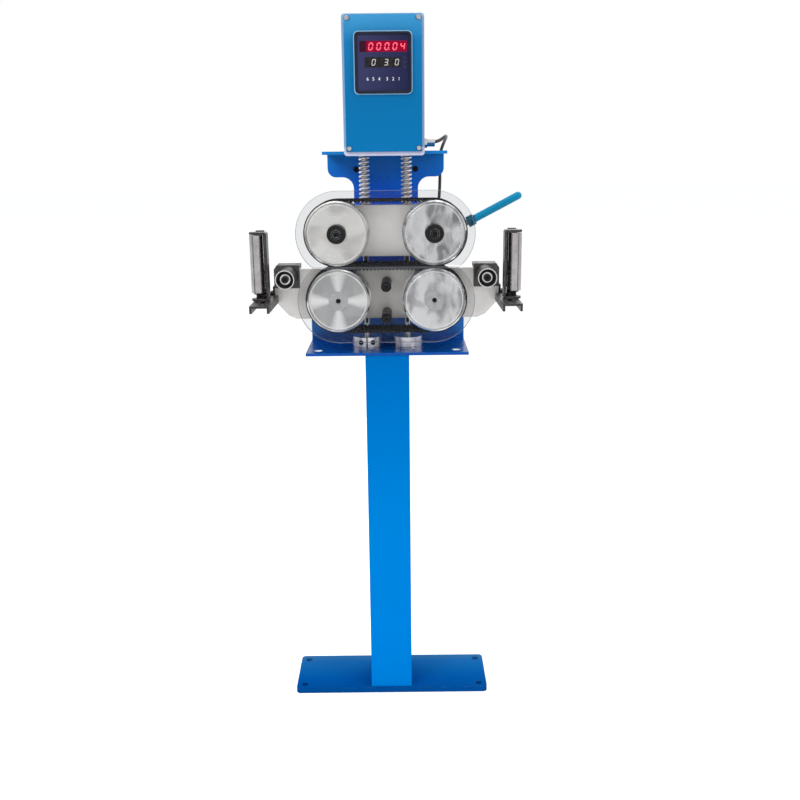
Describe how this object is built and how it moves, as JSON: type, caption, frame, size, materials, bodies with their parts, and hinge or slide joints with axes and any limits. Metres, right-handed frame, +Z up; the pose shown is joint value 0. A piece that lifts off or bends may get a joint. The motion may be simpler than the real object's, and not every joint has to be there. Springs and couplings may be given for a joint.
{
  "type": "cable length counter",
  "caption": "Post-mounted cable length counter: two toothed belts on sprung guide rods grip the cable, an encoder and panel counter show its length.",
  "frame": {"origin": "middle of the foot plate's underside", "axes": "+Z up along the post, +X along the cable's run to the right, +Y away from the counter's face"},
  "size_m": [0.3761, 0.2003, 0.9645],
  "materials": {
    "foot_paint": "gloss",
    "post_paint": "gloss",
    "frame_paint": "gloss",
    "zinc": "satin",
    "black_steel": "black oxide",
    "chrome_rod": "polished",
    "bare_aluminium": "machined",
    "grey_aluminium": "satin",
    "black_plastic": "matt",
    "turned_aluminium": "turned",
    "shaft_steel": "ground",
    "belt_rubber": "matt",
    "clear_acrylic": "clear",
    "encoder_case": "satin",
    "spring_steel": "bright wire",
    "lever_steel": "satin",
    "grip_plastic": "gloss",
    "roller_black": "satin black",
    "bracket_steel": "satin black",
    "roller_steel": "ground",
    "box_paint": "satin",
    "seal_rubber": "pale",
    "counter_plastic": "matt",
    "panel_film": "printed film",
    "nickel": "nickel plated",
    "cable_jacket": "matt",
    "white_plastic": "matt"
  },
  "bodies": {
    "frame": {"base_plate": "foot_paint", "post": "post_paint", "head_frame": "frame_paint", "frame_bolts": "zinc", "frame_screws": "black_steel", "guide_rods": "chrome_rod", "rod_clamps": "bare_aluminium", "lower_block": "grey_aluminium", "block_spacers": "zinc", "roller_blocks": "black_plastic", "lower_bearings": "shaft_steel", "lower_guard": "clear_acrylic", "guard_standoffs": "black_steel", "guard_screws": "black_steel", "encoder": "encoder_case", "left_spring": "spring_steel", "right_spring": "spring_steel", "roller_axles": "chrome_rod", "guide_bars": "black_steel", "rear_pins": "black_steel", "box_body": "box_paint", "box_gasket": "seal_rubber", "box_lid": "box_paint", "lid_screws": "zinc", "counter_case": "counter_plastic", "counter_panel": "panel_film", "cable_gland": "nickel", "signal_cable": "cable_jacket", "cable_clips": "white_plastic", "lower_belt": "belt_rubber"},
    "carriage": {"carriage_block": "grey_aluminium", "linear_bushings": "shaft_steel", "upper_axles": "shaft_steel", "upper_bearings": "shaft_steel", "upper_belt": "belt_rubber", "upper_guard": "clear_acrylic", "axle_screws": "black_steel", "cam_follower": "shaft_steel"},
    "lever": {"lever_arm": "lever_steel", "lever_grip": "grip_plastic", "lift_cam": "shaft_steel"},
    "upper_left_drum": {"upper_left_pulley": "turned_aluminium"},
    "upper_right_drum": {"upper_right_pulley": "turned_aluminium"},
    "lower_left_drum": {"lower_left_pulley": "turned_aluminium", "lower_left_shaft": "shaft_steel"},
    "lower_right_drum": {"lower_right_pulley": "turned_aluminium", "lower_right_shaft": "shaft_steel", "encoder_coupling": "bare_aluminium"},
    "left_level_roller": {"left_guide_roller": "roller_black"},
    "right_level_roller": {"right_guide_roller": "roller_black"},
    "left_front_slide": {"left_front_bracket": "bracket_steel", "left_front_pin": "black_steel"},
    "right_front_slide": {"right_front_bracket": "bracket_steel", "right_front_pin": "black_steel"},
    "left_front_spin": {"left_front_roller": "roller_steel"},
    "right_front_spin": {"right_front_roller": "roller_steel"},
    "left_rear_spin": {"left_rear_roller": "roller_steel"},
    "right_rear_spin": {"right_rear_roller": "roller_steel"}
  },
  "joints": [
    {"name": "carriage_lift", "type": "slide", "parent": "frame", "child": "carriage", "axis": [0, 0, 1], "range_m": [0, 0.02], "stiffness_N_per_m": 3000, "springref_m": -0.01, "deforming": ["left_spring", "right_spring"]},
    {"name": "lever_turn", "type": "hinge", "parent": "frame", "child": "lever", "pos_m": [0.05, 0.048, 0.663], "axis": [0, 1, 0], "range_deg": [0, 60.01]},
    {"name": "lower_right_turn", "type": "hinge", "parent": "frame", "child": "lower_right_drum", "pos_m": [0.0652, -0.03, 0.6011], "axis": [0, 1, 0], "continuous": true},
    {"name": "lower_left_turn", "type": "hinge", "parent": "frame", "child": "lower_left_drum", "pos_m": [-0.0652, -0.03, 0.6011], "axis": [0, 1, 0], "continuous": true},
    {"name": "upper_right_turn", "type": "hinge", "parent": "carriage", "child": "upper_right_drum", "pos_m": [0.0652, -0.03, 0.6907], "axis": [0, 1, 0], "continuous": true},
    {"name": "upper_left_turn", "type": "hinge", "parent": "carriage", "child": "upper_left_drum", "pos_m": [-0.0652, -0.03, 0.6907], "axis": [0, 1, 0], "continuous": true},
    {"name": "left_level_turn", "type": "hinge", "parent": "frame", "child": "left_level_roller", "pos_m": [-0.137, -0.03, 0.63], "axis": [0, 1, 0], "continuous": true},
    {"name": "right_level_turn", "type": "hinge", "parent": "frame", "child": "right_level_roller", "pos_m": [0.137, -0.03, 0.63], "axis": [0, 1, 0], "continuous": true},
    {"name": "left_guide_slide", "type": "slide", "parent": "frame", "child": "left_front_slide", "axis": [0, -1, 0], "range_m": [-0.014, 0.024]},
    {"name": "right_guide_slide", "type": "slide", "parent": "frame", "child": "right_front_slide", "axis": [0, -1, 0], "range_m": [-0.014, 0.024]},
    {"name": "left_front_turn", "type": "hinge", "parent": "left_front_slide", "child": "left_front_spin", "pos_m": [-0.1735, -0.05, 0.65], "axis": [0, 0, 1], "continuous": true},
    {"name": "right_front_turn", "type": "hinge", "parent": "right_front_slide", "child": "right_front_spin", "pos_m": [0.1735, -0.05, 0.65], "axis": [0, 0, 1], "continuous": true},
    {"name": "left_rear_turn", "type": "hinge", "parent": "frame", "child": "left_rear_spin", "pos_m": [-0.1735, -0.01, 0.65], "axis": [0, 0, 1], "continuous": true},
    {"name": "right_rear_turn", "type": "hinge", "parent": "frame", "child": "right_rear_spin", "pos_m": [0.1735, -0.01, 0.65], "axis": [0, 0, 1], "continuous": true}
  ],
  "couplings": [
    {"joint": "lever_turn", "follows": "carriage_lift", "rad_per_m": 52.36},
    {"joint": "lower_left_turn", "follows": "lower_right_turn", "ratio": 1},
    {"joint": "upper_left_turn", "follows": "upper_right_turn", "ratio": 1}
  ]
}
